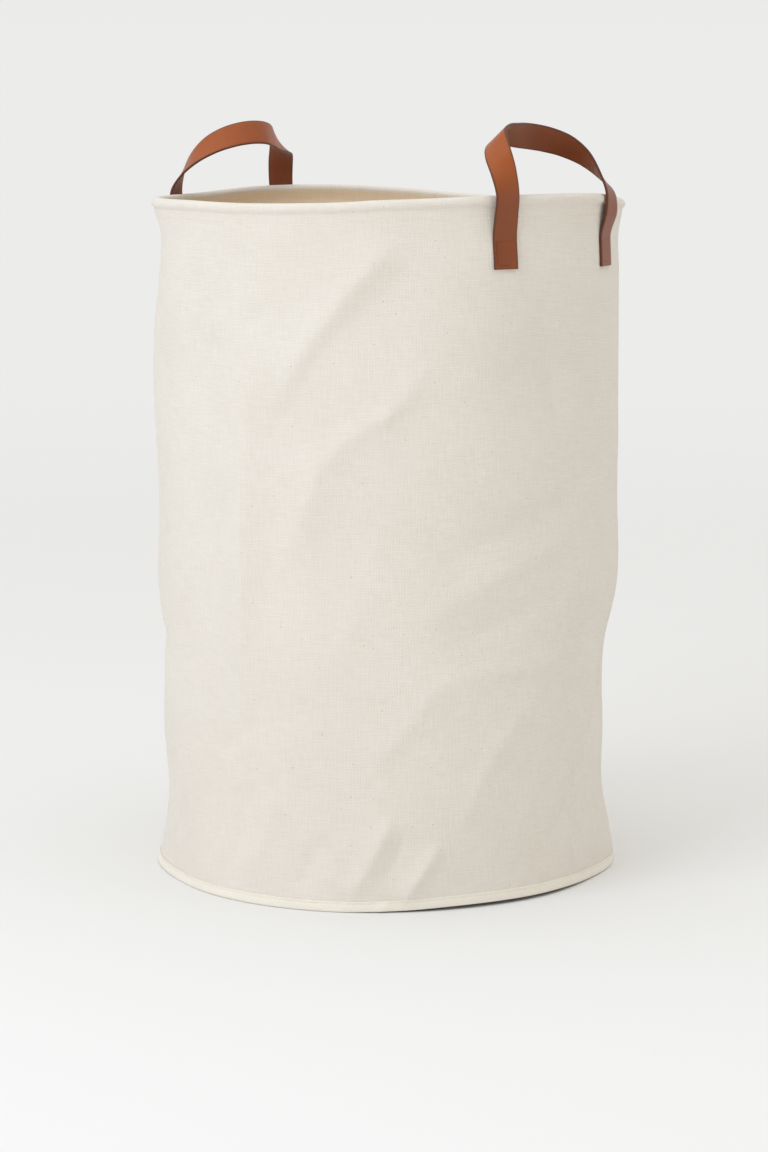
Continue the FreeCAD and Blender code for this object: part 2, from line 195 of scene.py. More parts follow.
# %% Lay the folds on the wall
# Each fold: its height in mm (minus for a valley), reach, crest, and the line
# it follows as (azimuth, height in mm) pairs.
FOLDS = [
    (4.2, 20, 1.5, (-80, 470), (-82, 363), (-82, 288), (-83, 214), (-82, 120)),
    (-1.8, 18, 5, (-73, 400), (-75, 300), (-76, 200)),
    (4.8, 24, 4, (-44, 552), (-57, 503), (-68, 454), (-74, 410)),
    (-1.6, 20, 6, (-40, 530), (-61, 467), (-73, 405), (-79, 372)),
    (3.2, 20, 4, (-36, 450), (-47, 408), (-57, 389), (-63, 366), (-66, 325), (-73, 285)),
    (1.6, 5, 1.5, (-46, 413), (-47, 407), (-49, 404)),
    (-1.5, 22, 6, (5, 320), (9, 212), (5, 130), (-2, 60)),
    (-4.2, 16, 1.5, (34, 225), (26, 146), (14, 96), (4, 60), (-2, 42)),
    (1.5, 16, 5, (-42, 236), (-20, 273), (-1, 296), (14, 302)),
    (-1.2, 14, 4, (-34, 285), (-16, 310), (4, 330)),
    (-1.2, 14, 4, (-34, 215), (-12, 240), (6, 262)),
    (1.5, 14, 4, (-36, 190), (-14, 195), (6, 194)),
    (1.6, 14, 4, (-33, 192), (-42, 153), (-51, 118)),
    (0.9, 6, 2, (-52, 252), (-60, 210)),
    (3.4, 12, 2.5, (-45, 80), (-50, 45), (-56, 10)),
    (-1.4, 8, 2, (-42, 66), (-47, 20)),
    (3.0, 9, 2, (-33, 55), (-39, 26), (-43, 4)),
    (-2.2, 14, 4, (-84, 105), (-85, 61), (-90, 10)),
    (1.2, 12, 3, (-74, 100), (-78, 56), (-82, 18)),
    (-2.0, 16, 4, (-62, 62), (-70, 12)),
    (-2.6, 12, 3, (20, 110), (11, 30)),
    (2.0, 7, 2, (6, 62), (12, 12)),
    (-1.6, 14, 4, (-78, 160), (-93, 120)),
    (-1.5, 14, 4, (-106, 70), (-114, 40)),
    (-1.2, 12, 3, (-85, 550), (-89, 530)),
    (-1.2, 10, 3, (-77, 500), (-81, 478)),
    (1.4, 16, 5, (-90, 492), (-96, 466)),
    (1.6, 14, 4, (-30, 552), (-12, 505)),
    (-2.6, 22, 6, (-9, 500), (-1, 400), (9, 330)),
    (1.4, 14, 4, (-6, 185), (-20, 124), (-29, 60)),
    (1.8, 16, 4, (58, 520), (70, 430), (66, 330)),
    (-2.0, 18, 5, (52, 340), (74, 290), (100, 262)),
    (2.0, 12, 3, (60, 180), (78, 110), (80, 20)),
    (2.2, 20, 5, (112, 540), (124, 450), (120, 330), (128, 220)),
    (-2.2, 16, 4, (138, 510), (150, 420), (146, 330)),
    (1.8, 14, 3, (132, 250), (152, 215), (170, 222)),
    (2.0, 10, 3, (146, 120), (154, 60), (152, 8)),
    (-1.8, 14, 4, (168, 480), (184, 400), (196, 352)),
    (2.0, 14, 4, (172, 330), (188, 262), (184, 180)),
    (-2.0, 12, 3, (186, 110), (192, 50), (190, 10)),
    (2.0, 16, 4, (206, 500), (214, 420), (208, 330)),
    (-1.8, 12, 4, (212, 250), (228, 205), (244, 210)),
]
FOLD_DEPTH = 1.5  # every fold is this many times as deep as its row says
BUMP_COUNT, BUMP_HEIGHT = 220, 0.26  # fine unevenness, its height in mm
MAP_AZ = np.linspace(-180, 180, 721)
MAP_Z = np.linspace(0, 590, 237)
DEGREE = np.radians(1) * WALL_R / MM  # one degree round the wall, in mm


def off_line(azimuth, line):
    """How far an azimuth is from a line up the wall, the short way, in degrees."""
    return (azimuth - line + 180) % 360 - 180


def add_fold(depth, height, reach, crest, line):
    """Adds one fold to the map of the wall, which is in mm."""
    z = MAP_Z[None, :]
    nearest = np.full(depth.shape, 1e9)
    along = np.zeros(depth.shape)
    ends = [np.array([0.0, line[0][1]])]
    for (a0, _), (a1, z1) in zip(line, line[1:]):
        ends.append(np.array([ends[-1][0] + (a1 - a0) * DEGREE, z1]))
    s = (off_line(MAP_AZ, line[0][0]) * DEGREE)[:, None]
    total = sum(np.linalg.norm(b - a) for a, b in zip(ends, ends[1:]))
    done = 0.0
    for a, b in zip(ends, ends[1:]):
        run = b - a
        length = np.linalg.norm(run)
        t = ((s - a[0]) * run[0] + (z - a[1]) * run[1]) / length**2
        t = np.clip(t, 0, 1)
        gap = np.hypot(s - a[0] - t * run[0], z - a[1] - t * run[1])
        closer = gap < nearest
        nearest = np.where(closer, gap, nearest)
        along = np.where(closer, (done + t * length) / total, along)
        done += length
    blunt = np.sqrt(nearest**2 + crest**2) - crest
    fade = 1 - np.abs(2 * along - 1) ** 3
    depth += height * np.exp(-blunt / reach * 1.6) * fade


def map_the_wall():
    """Broad hollows, folds and fine unevenness, in metres, on a fine grid."""
    by_azimuth = line_weights(list(HOLLOWS), MAP_AZ, 360)
    by_height = line_weights(HOLLOW_HEIGHTS, MAP_Z)
    broad = by_azimuth @ np.array(list(HOLLOWS.values())) @ by_height.T
    fine = np.zeros(broad.shape)
    for height, reach, crest, *line in FOLDS:
        add_fold(fine, height * FOLD_DEPTH, reach, crest, line)
    chance = np.random.default_rng(7)
    for _ in range(BUMP_COUNT):
        a, h = chance.uniform(-180, 180), chance.uniform(0, 560)
        wide, tall = chance.uniform(9, 34, 2)
        lean = chance.uniform(-0.8, 0.8)
        s = (off_line(MAP_AZ, a) * DEGREE)[:, None]
        up = MAP_Z[None, :] - h
        bump = np.exp(-(((s + lean * up) / wide) ** 2) - (up / tall) ** 2)
        fine += chance.normal(0, BUMP_HEIGHT) * bump
    # The hoop and the base seam hold the cloth smooth next to them.
    held = np.clip((566 - MAP_Z) / 26, 0, 1) * np.clip(MAP_Z / 9, 0.25, 1)
    return (broad + fine * held[None, :]) * MM


WALL_MAP = map_the_wall()
print(f"wall map from {WALL_MAP.min() / MM:.1f} to {WALL_MAP.max() / MM:.1f} mm")

# %% Move any point of the bin to where the cloth really is
def read_map(azimuth, height):
    """The wall map between its grid points."""
    a = ((np.asarray(azimuth) + 180) % 360) / 360 * (len(MAP_AZ) - 1)
    h = np.clip(np.asarray(height) / MM / MAP_Z[-1], 0, 1) * (len(MAP_Z) - 1)
    i = np.minimum(a.astype(int), len(MAP_AZ) - 2)
    j = np.minimum(h.astype(int), len(MAP_Z) - 2)
    a, h = a - i, h - j
    low = WALL_MAP[i, j] * (1 - a) + WALL_MAP[i + 1, j] * a
    high = WALL_MAP[i, j + 1] * (1 - a) + WALL_MAP[i + 1, j + 1] * a
    return low * (1 - h) + high * h


def settle(azimuth, radius, height):
    """Points of the slumped bin, from azimuth in degrees, radius and height."""
    azimuth, radius, height = np.broadcast_arrays(azimuth, radius, height)
    turned = off_line(azimuth, 0)
    share = np.clip(height / RIM_TOP, 0, 1.2)  # 0 at the floor, 1 at the rim
    reach = np.clip(radius / WALL_R, 0, 1.05) ** 3  # the middle stays where it is
    base, rim = wave(BASE_WAVE, turned), wave(RIM_WAVE, turned)
    lift = reach * (np.maximum(base, 0) * (1 - share) + rim * share)
    out = radius + read_map(azimuth, height) * reach
    angle = np.radians(azimuth)
    return np.stack([out * np.cos(angle), out * np.sin(angle), height + lift], -1)


# %% [markdown]
# ## Making a round piece
#
# Wall, lining, tape, hoop and patches all follow the round of the bin, so they
# can be made one way. A closed outline of (radius, height) points is the cross
# section, thickness included. It is carried round the axis and each point goes
# through `settle`. The UV map is in metres of real cloth: one direction runs
# round the bin, the other along the outline, so that a weave keeps its size.

# %% Carry an outline round the bin
SEAM_AZ = 90.0  # the side seam is at the back
AROUND = np.concatenate([
    np.linspace(SEAM_AZ, SEAM_AZ + 3, 13)[:-1],
    np.linspace(SEAM_AZ + 3, SEAM_AZ + 357, 401)[:-1],
    np.linspace(SEAM_AZ + 357, SEAM_AZ + 360, 13)[:-1],
])


def new_object(name, data):
    """An object of a mesh, light or camera, in the scene."""
    thing = bpy.data.objects.new(name, data)
    bpy.context.scene.collection.objects.link(thing)
    return thing


def make_piece(name, points, faces, uv, material, body="bin"):
    """A mesh object with smooth shading that rides on a body."""
    mesh = bpy.data.meshes.new(name)
    mesh.from_pydata(points.tolist(), [], faces)
    layer = mesh.uv_layers.new(name="metres")
    layer.data.foreach_set("uv", np.asarray(uv, np.float32).ravel())
    mesh.polygons.foreach_set("use_smooth", [True] * len(mesh.polygons))
    for finish in material if isinstance(material, list) else [material]:
        mesh.materials.append(finish)
    piece = new_object(name, mesh)
    if body:
        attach(piece, body)
    return piece


def carry_round(name, outline, material, azimuths=None, shape=None, flat=False):
    """Turns a closed outline round the axis; part of the way if azimuths say."""
    ring = azimuths is None
    azimuths = AROUND if ring else np.asarray(azimuths, float)
    outline = np.array(outline)
    rows, cols = len(outline), len(azimuths)
    az, radius = np.meshgrid(azimuths, outline[:, 0])
    height = np.repeat(outline[:, 1:], cols, axis=1)
    if shape:
        radius, height = shape(az, radius, height)
    points = settle(az, radius, height).reshape(-1, 3)
    i, k = np.meshgrid(range(rows), range(cols if ring else cols - 1), indexing="ij")
    steps = [(i, k), (i, k + 1), (i + 1, k + 1), (i + 1, k)]
    quads = np.stack([a % rows * cols + b % cols for a, b in steps], -1).reshape(-1, 4)
    loop = np.vstack([outline, outline[:1]])
    length = np.concatenate(
        [[0], np.cumsum(np.linalg.norm(np.diff(loop, axis=0), axis=1))]
    )
    wrapped = np.append(azimuths, azimuths[0] + 360)
    u = np.stack([np.radians(wrapped[b]) * WALL_R for _, b in steps], -1).ravel()
    v = np.stack([length[a] for a, _ in steps], -1).ravel()
    uv = points[quads.ravel(), :2] if flat else np.stack([u, v], -1)
    faces = quads.tolist()
    if not ring:
        faces.append([a * cols for a in range(rows)])
        faces.append([a * cols + cols - 1 for a in reversed(range(rows))])
        uv = np.vstack([uv, outline, outline[::-1]])
    piece = make_piece(name, points, faces, uv, material)
    if outline[:, 0].min() < 1e-6:
        reshape(piece, close_middle)
    return piece


def reshape(piece, change):
    """Opens a piece's mesh, changes it and puts it back."""
    cloth = bmesh.new()
    cloth.from_mesh(piece.data)
    change(cloth)
    cloth.to_mesh(piece.data)
    cloth.free()


def close_middle(cloth):
    """Welds the points that meet on the axis, so that a disc has one middle."""
    middle = [v for v in cloth.verts if v.co.xy.length < 1e-6]
    bmesh.ops.remove_doubles(cloth, verts=middle, dist=1e-6)


def ladder(*stops):
    """Heights from stops of (height, step to the next stop), all in mm."""
    out = []
    for (start, step), (end, _) in zip(stops, stops[1:]):
        count = max(1, round(abs(end - start) / step))
        out += list(np.linspace(start, end, count + 1)[:-1])
    return [z * MM for z in out + [stops[-1][0]]]


def slab(inner, outer, levels):
    """The outline of an upright sheet, up its outside and down its inside."""
    return [(outer, z) for z in levels] + [(inner, z) for z in reversed(levels)]


# %% [markdown]
# ## Materials
#
# Every surface is a material made of nodes. Two helpers keep that readable: one
# turns a colour a maker would write, in sRGB hex, into the linear numbers that
# the shader wants, and one adds a node with its settings and its links. Where a
# node is given as an input, its first output in use is what gets linked.

# %% Colours and nodes
def linear(code):
    """Six hex digits of sRGB as linear red, green, blue and alpha."""
    parts = [int(code[i:i + 2], 16) / 255 for i in (0, 2, 4)]
    bent = [c / 12.92 if c <= 0.04045 else ((c + 0.055) / 1.055) ** 2.4 for c in parts]
    return (*bent, 1.0)


def feed(node, inputs):
    """Puts a value in each socket named, or links a node's output to it."""
    for socket, value in inputs.items():
        if isinstance(value, bpy.types.Node):
            value = next(out for out in value.outputs if out.enabled)
        if isinstance(value, bpy.types.NodeSocket):
            node.id_data.links.new(value, node.inputs[socket])
        else:
            node.inputs[socket].default_value = value


def add_node(tree, kind, inputs=None, **settings):
    """Adds a shader node, first its settings and then its inputs."""
    node = tree.nodes.new("ShaderNode" + kind)
    for name, value in settings.items():
        setattr(node, name, value)
    feed(node, inputs or {})
    return node


def new_material(name):
    """A node material: itself, its shader, its own add_node and its UV map."""
    material = bpy.data.materials.new(name)
    material.use_nodes = True
    tree = material.node_tree
    add = partial(add_node, tree)
    return material, tree.nodes["Principled BSDF"], add, add("TexCoord").outputs["UV"]


# %% [markdown]
# ### Plain-weave cotton
#
# Canvas is a plain weave: each thread goes over one and under the next. The
# product of two sines gives that chequer of bumps, with a furrow wherever a
# thread dips. Uneven spinning comes from noise stretched along the threads,
# one noise for the warp and one for the weft, and unbleached cotton has a few
# specks of seed husk in it.
#
# Cotton is dull, with a fine fuzz that catches light at grazing angles: high
# roughness and a little sheen.

# %% Woven cloth for the wall, the lining and the tape
def woven(name, yarn, furrow_shade, husk, pitch, bias=0.0, relief=0.25, husks=0.62):
    """Unbleached woven cotton; pitch is the thread spacing in metres."""
    cloth, shader, add, place = new_material(name)
    if bias:
        turned = {0: place, "Rotation": (0, 0, np.radians(bias))}
        place = add("Mapping", turned).outputs[0]
    # Threads wander by a little less than their spacing.
    drift = add("TexNoise", {0: place, "Scale": 70, "Detail": 1})
    wander = {0: drift.outputs["Color"], 1: (pitch * 0.9,) * 3, 2: place}
    thread = add("VectorMath", wander, operation="MULTIPLY_ADD")
    # One arch of a sine for each thread, both ways, makes the chequer.
    arches = add("VectorMath", {0: thread, 1: (np.pi / pitch,) * 3}, operation="MULTIPLY")
    split = add("SeparateXYZ", {0: arches})
    warp = add("Math", {0: split.outputs["X"]}, operation="SINE")
    weft = add("Math", {0: split.outputs["Y"]}, operation="SINE")
    over = add("Math", {0: warp, 1: weft}, operation="MULTIPLY")
    crown = add("Math", {0: over}, operation="ABSOLUTE")
    raised = add("Math", {0: crown, 1: 0.6}, operation="POWER")
    # Uneven spinning follows whichever thread is on top.
    spun = []
    for stretch in ((0.8 / pitch, 60, 1), (60, 0.8 / pitch, 1)):
        long_way = add("Mapping", {0: thread, "Scale": stretch})
        spun.append(add("TexNoise", {0: long_way, "Scale": 1.0, "Detail": 2}))
    on_top = add("MapRange", {0: over, 1: -0.2, 2: 0.2})
    spinning = add("Mix", {0: on_top, 2: spun[1], 3: spun[0]})
    cloudy = add("TexNoise", {0: place, "Scale": 14, "Detail": 4})
    worn = add("Math", {0: cloudy, 1: 0.4, 2: spinning}, operation="MULTIPLY_ADD")
    depth = add("Math", {0: raised, 1: -0.5, 2: worn}, operation="MULTIPLY_ADD")
    # Painted shade: the dips between threads take the darker furrow colour. The spinning and
    # cloud noise add the cloth's own uneven tone.
    shade = add("MapRange", {0: depth, 1: -0.1, 2: 1.0})
    colour = add("Mix", {0: shade, 6: linear(yarn), 7: linear(furrow_shade)}, data_type="RGBA")
    # Specks of seed husk lie in a few of the cells, 8 mm apart.
    seeds = add("TexVoronoi", {0: place, "Scale": 120, "Randomness": 1})
    near = add("MapRange", {0: seeds, 1: 0.09, 2: 0.02, 4: 0.7})
    dealt = add("SeparateXYZ", {0: seeds.outputs["Color"]})
    chosen = add("Math", {0: dealt.outputs["X"], 1: husks}, operation="GREATER_THAN")
    speck = add("Math", {0: near, 1: chosen}, operation="MULTIPLY")
    fleck = add("Mix", {0: speck, 6: colour, 7: linear(husk)}, data_type="RGBA")
    lumpy = add("Math", {0: spinning, 1: 0.7, 2: raised}, operation="MULTIPLY_ADD")
    bump = {"Height": lumpy, "Distance": relief * MM, "Strength": 0.7}
    feed(shader, {
        "Base Color": fleck, "Normal": add("Bump", bump),
        "Roughness": 0.88, "Specular IOR Level": 0.25,
        "Sheen Weight": 0.18, "Sheen Roughness": 0.55,
    })
    return cloth


# The second colour of each cloth is painted shade for the dips of its weave.
# Threads are drawn 1.25 mm apart: the real 0.9 mm is finer than a render shows.
CANVAS = woven("cotton_canvas_plain_weave_unbleached",
               "EFE8DE", "D8CEBF", "A8967A", 1.25 * MM)
BACKING = woven("cotton_backing_laminated_matt",
                "F8E6CC", "E6D0B0", "A08A66", 1.25 * MM, relief=0.12)
BIAS_TAPE = woven("cotton_bias_tape_plain_weave",
                  "F6F0E4", "E4DBCB", "CFC0A0", 0.9 * MM, bias=45, relief=0.12, husks=0.93)
print("woven:", CANVAS.name, BACKING.name, BIAS_TAPE.name)

# %% [markdown]
# ## The wall
#
# The wall is one piece of canvas. Its top goes over the hoop and comes down
# inside as a hem, which one row of stitches holds, so the roll has the section
# of a teardrop. It is modelled with its real thickness, as a closed outline
# that goes up the outside, over the roll, down the hem, and back between the
# layers. The inner face of the hem is canvas, but it is drawn in the tan cloth
# of the backing: painted light, for the warm light inside the bin.

# %% The outline of the wall, with its rolled hem
def arc(radius, start, end, steps):
    """Points on the rolled rim, from one angle to another in degrees."""
    turn = np.radians(np.linspace(start, end, steps))
    r0, z0 = ROLL_CENTRE
    return [(r0 + radius * np.cos(t), z0 + radius * np.sin(t)) for t in turn]


def slope_down(start, end):
    """Points after the first along the taut cloth between wire and hem row."""
    return [tuple(p) for p in np.linspace(start, end, 5)[1:]]


INNER_R = WALL_R - CANVAS_GAUGE
HEM_LOW = 558 * MM
NECK = ROLL_CENTRE[1] - 5 * MM
STEPS_UP = ladder((0.8, 4), (552, 2), (560, 1), (566, 1.7), (570, 1))
outside = [(WALL_R, z) for z in STEPS_UP]
outside += [(WALL_R + 0.4 * MM, NECK + 0.9 * MM)]
roll = arc(ROLL_R, -48, 192, 17)
hem_in = INNER_R - CANVAS_GAUGE
hem = slope_down(roll[-1], (hem_in, 566 * MM))
hem += [(hem_in, z * MM) for z in (565, 564, 563, 562, 560)]
hem += [(hem_in, HEM_LOW), (INNER_R - SEAT, HEM_LOW)]
hem += [(INNER_R - SEAT, z * MM) for z in (561, 564)]
tunnel = arc(ROLL_R - CANVAS_GAUGE, 192, -82, 15)
hem += slope_down((INNER_R - SEAT, 566 * MM), tunnel[0])[:-1]
inside = [(INNER_R + SEAT, z) for z in reversed(STEPS_UP[::2])]


def wall_shape(az, radius, height):
    """Draws in along the hem row and stands proud along the side seam."""
    # The stitches pull the cloth in by up to 0.45 mm, and not evenly.
    row = np.exp(-(((height - HEM_ROW) / (1.6 * MM)) ** 2))
    turn = np.radians(az)
    gather = 0.75 + 0.25 * np.sin(turn * 74) * np.sin(turn * 31)
    face = np.clip((radius - INNER_R) / CANVAS_GAUGE, -1, 1)
    radius = radius - row * gather * 0.45 * MM * face
    # The lap of the seam is 14 mm wide, with a groove where the edges meet.
    off_seam = np.abs(off_line(az, SEAM_AZ)) * DEGREE
    lap = np.clip((7.0 - off_seam) / 1.2, 0, 1) * np.clip((HEM_ROW - height) / MM, 0, 1)
    valley = np.exp(-((off_seam / 0.9) ** 2)) * 0.9
    return radius + np.clip(face, 0, 1) * lap * (0.55 - valley) * MM, height


wall = carry_round("canvas_wall_cloth", outside + roll + hem + tunnel + inside,
                   [CANVAS, BACKING], shape=wall_shape)
HEM_START, HEM_FACES = len(outside + roll) - 1, 11
# The hem's inner faces take the backing's tan: painted light for the warm light inside the bin.
painted_glow_faces = [int(HEM_START <= n // len(AROUND) < HEM_START + HEM_FACES)
          for n in range(len(wall.data.polygons))]
wall.data.polygons.foreach_set("material_index", painted_glow_faces)
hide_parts("canvas_wall")
print("wall faces:", len(wall.data.polygons))

# %% [markdown]
# ## Hoop and ferrule
#
# Inside the roll is a ring of hard spring wire, its ends pushed into a short
# crimped tube. Neither shows, but a part in a library should have them.
# Drawn wire is bright and streaked along its length, so its roughness is
# broken by noise stretched that way. Metals keep the shader's usual IOR.

# %% Wire, ferrule and their metals
def drawn_metal(name, bright, dull, roughness, stretch):
    """Metal with fine lines from its die or its rolls."""
    metal, shader, add, place = new_material(name)
    lines = add("Mapping", {0: place, "Scale": stretch})
    streak = add("TexNoise", {0: lines, "Scale": 1.0, "Detail": 3})
    colour = {0: streak, 6: linear(bright), 7: linear(dull)}
    rough = {0: streak, 3: roughness - 0.08, 4: roughness + 0.12}
    feed(shader, {
        "Base Color": add("Mix", colour, data_type="RGBA"),
        "Roughness": add("MapRange", rough), "Metallic": 1.0,
    })
    return metal


SPRING_STEEL = drawn_metal("spring_steel_wire_drawn",
                           "C9CACC", "9B9DA1", 0.3, (30, 4000, 1))
ALUMINIUM = drawn_metal("aluminium_tube_crimped",
                        "DADBDD", "B9BBBE", 0.35, (4000, 60, 1))
WIRE_R, FERRULE_R = 2.0 * MM, 2.6 * MM
hoop = carry_round("rim_hoop_wire", arc(WIRE_R, 0, 360, 13)[:-1], SPRING_STEEL)
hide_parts("rim_hoop")

FERRULE_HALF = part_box("hoop_ferrule")[1].x / WALL_R
ferrule_az = SEAM_AZ + np.degrees(FERRULE_HALF) * np.linspace(-1, 1, 15)


def crimp(az, radius, height):
    """Two crimps squeeze the tube on to the wire ends."""
    along = (az - SEAM_AZ) / np.degrees(FERRULE_HALF)
    pinch = 1 - 0.13 * np.exp(-(((np.abs(along) - 0.55) / 0.12) ** 2))
    r0, z0 = ROLL_CENTRE
    return r0 + (radius - r0) * pinch, z0 + (height - z0) * pinch


ferrule = carry_round("hoop_ferrule_tube", arc(FERRULE_R, 0, 360, 15)[:-1], ALUMINIUM,
                      azimuths=ferrule_az, shape=crimp)
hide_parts("hoop_ferrule")
print("hoop wire", 2 * WIRE_R / MM, "mm, ferrule half angle", round(FERRULE_HALF, 3))

# %% [markdown]
# ## Inside: backing, lining, board and base cloth
#
# The canvas is stiffened by a second cloth laminated to its back, and the seam
# inside is covered with a tape. The bottom is a sandwich of base canvas, a thin
# board and a lining. All of them are thin sheets that follow the same settled
# shape as the wall.

# %% The backing and the seam tape
BACK_IN = INNER_R - BACKING_GAUGE
backing = carry_round(
    "wall_backing_cloth",
    slab(BACK_IN, INNER_R - SEAT, ladder((14, 6), (552, 3), (557, 1))), BACKING,
)
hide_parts("wall_backing")

TAPE_HALF = np.degrees(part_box("side_seam_tape")[1].x / BACK_IN)
TAPE_LOW, TAPE_HIGH = heights("side_seam_tape")
TAPE_ROWS = ladder((TAPE_LOW / MM, 6), (TAPE_HIGH / MM, 1))


def tape_shape(az, radius, height):
    """The folded edges of the tape stand a little prouder than its middle."""
    along = np.abs(az - SEAM_AZ) / TAPE_HALF
    edge = np.exp(-(((along - 0.88) / 0.14) ** 2))
    return radius - np.where(radius < BACK_IN - TAPE_GAUGE / 2, edge * 0.3 * MM, 0), height


tape = carry_round(
    "side_seam_tape_cloth",
    slab(BACK_IN - TAPE_GAUGE, BACK_IN - SEAT, TAPE_ROWS), BIAS_TAPE,
    azimuths=SEAM_AZ + TAPE_HALF * np.linspace(-1, 1, 17), shape=tape_shape,
)
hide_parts("side_seam_tape")
print("tape from", round(TAPE_LOW / MM), "to", round(TAPE_HIGH / MM), "mm")

# %% [markdown]
# The board is plain extruded polypropylene: a faint ripple from the rolls, half
# gloss, and an IOR of 1.49.

# %% The bottom, from the board up and down
def pressed_board(name):
    """Extruded polypropylene sheet."""
    plastic, shader, add, place = new_material(name)
    ripple = add("TexNoise", {0: place, "Scale": 260, "Detail": 2})
    colour = {0: ripple, 6: linear("E9E8E3"), 7: linear("DDDCD6")}
    bump = {"Height": ripple, "Distance": 0.05 * MM}
    feed(shader, {
        "Base Color": add("Mix", colour, data_type="RGBA"),
        "Normal": add("Bump", bump), "Roughness": 0.45, "IOR": 1.49,
    })
    return plastic


def disc(radius, low, high, steps=16):
    """The outline of a round sheet, out along its underside and back on top."""
    out = np.linspace(0, radius - 0.4 * MM, steps)
    under = [(r, low) for r in out]
    middle = (low + high) / 2
    return under + [(radius, middle)] + [(r, high) for r in reversed(out)]


BOARD_PLASTIC = pressed_board("polypropylene_board_extruded")
board = carry_round("base_board_sheet",
                    disc(BOARD_HIGH.y, BOARD_LOW.z + SEAT, BOARD_HIGH.z - SEAT),
                    BOARD_PLASTIC, flat=True)
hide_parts("base_board")

lining = carry_round("base_lining_cloth", disc(LINING_HIGH.y, LINING_LOW.z, LINING_HIGH.z),
                     BACKING, flat=True)
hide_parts("base_lining")

skirt_r = CLOTH_HIGH.y
out = np.linspace(0, skirt_r - CANVAS_GAUGE - 0.8 * MM, 16)
under_z, over_z = CLOTH_HIGH.z - CANVAS_GAUGE, CLOTH_HIGH.z
base_outline = [(r, under_z) for r in out]
base_outline += [(skirt_r - CANVAS_GAUGE, under_z - 0.8 * MM),
                 (skirt_r - CANVAS_GAUGE, CLOTH_LOW.z), (skirt_r - SEAT, CLOTH_LOW.z),
                 (skirt_r - SEAT, over_z - 0.8 * MM), (skirt_r - 0.8 * MM, over_z)]
base_outline += [(r, over_z) for r in reversed(out)]
base_cloth = carry_round("base_canvas_cloth", base_outline, CANVAS, flat=True)
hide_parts("base_canvas")

# %% [markdown]
# ## The binding round the base
#
# Bias tape is folded over the raw edges and stitched through. Cut on the bias,
# it turns the curve without pleating, but its width wanders a little and it
# has one tuck where its start is lapped. A U-shaped outline gives the tape a
# real edge with a shadow under it.

# %% Fold the tape over the raw edges
BIND_R, BIND_TOP = BINDING_HIGH.y, BINDING_HIGH.z
BIND_IN = BIND_R - 4 * MM
TAPE_OUT, TAPE_IN = BIND_R - BACKING_GAUGE + SEAT, BIND_IN + BACKING_GAUGE - SEAT
binding_outline = [
    (BIND_R - 0.5 * MM, 0), (BIND_R - 0.1 * MM, 0.5 * MM), (BIND_R, 1.6 * MM),
    (BIND_R + 0.15 * MM, 4 * MM), (BIND_R, 6.2 * MM), (BIND_R - 0.3 * MM, 7.2 * MM),
    (BIND_R, 8.2 * MM), (BIND_R - 0.05 * MM, BIND_TOP - 0.3 * MM),
    (BIND_R - 0.3 * MM, BIND_TOP), (BIND_R - 0.65 * MM, BIND_TOP - 0.1 * MM),
    (TAPE_OUT, BIND_TOP - 0.6 * MM), (TAPE_OUT, 4 * MM), (TAPE_OUT, 0.75 * MM),
    (TAPE_IN, 0.75 * MM), (TAPE_IN, 5 * MM), (TAPE_IN, BIND_TOP - 0.6 * MM),
    (BIND_IN + 0.4 * MM, BIND_TOP), (BIND_IN + 0.05 * MM, BIND_TOP - 0.6 * MM),
    (BIND_IN, 4 * MM), (BIND_IN, 0.8 * MM), (BIND_IN + 0.5 * MM, 0),
    ((BIND_R + BIND_IN) / 2, 0),
]
TUCK_AZ = -48.0


def binding_shape(az, radius, height):
    """Lets the width of the tape wander and lays a tuck over its start."""
    turn = np.radians(az)
    wander = np.sin(turn * 9 + 1) * 0.5 + np.sin(turn * 23) * 0.3 + np.sin(turn * 41) * 0.2
    outer = np.clip((radius - BIND_R + BACKING_GAUGE) / BACKING_GAUGE, 0, 1)
    height = height * (1 + 0.05 * wander * outer)
    slant = off_line(az, TUCK_AZ) * DEGREE - height / MM * 0.8
    tuck = np.clip((slant + 5) / 1.0, 0, 1) * np.clip((6 - slant) / 5, 0, 1)
    return radius + outer * tuck * 0.9 * MM, height


binding = carry_round("base_binding_tape", binding_outline, BIAS_TAPE, shape=binding_shape)
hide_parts("base_binding")

# %% [markdown]
# ## Stitches
#
# A row of lockstitch shows as short rods of thread, each diving into the cloth
# at its ends. A bump could fake them, but real ones catch the light and throw
# a shadow, so each stitch is a small closed mesh: five rings of six points,
# thick in the middle and sunk at the ends. The thread is three plies twisted
# together, which a slanting wave in the material shows.

# %% Thread material and one mesh per row
def spun_thread(name, light, dark):
    """Twisted cotton or polyester thread, 0.6 mm thick."""
    thread, shader, add, place = new_material(name)
    ply = {0: place, "Scale": 280, "Distortion": 0.6, "Detail": 1}
    ply = add("TexWave", ply, bands_direction="DIAGONAL").outputs["Fac"]
    colour = {0: ply, 6: linear(dark), 7: linear(light)}
    bump = {"Height": ply, "Distance": 0.1 * MM}
    feed(shader, {
        "Base Color": add("Mix", colour, data_type="RGBA"),
        "Normal": add("Bump", bump),
        "Roughness": 0.6, "Sheen Weight": 0.15,
    })
    return thread


CREAM_THREAD = spun_thread("cotton_thread_three_ply_cream", "F7EEDC", "DDD0B6")
BROWN_THREAD = spun_thread("polyester_thread_three_ply_brown", "6A3A22", "3C1E10")
THREAD_R = 0.32 * MM
CORNERS = 6  # of each ring
# Rings along a stitch: (share of its length, girth, rise off the cloth), the
# last two as shares of the thread's radius.
STITCH_RINGS = [(0.0, 0.35, -0.9), (0.16, 0.85, -0.1), (0.5, 1.0, 0.35),
                (0.84, 0.85, -0.1), (1.0, 0.35, -0.9)]


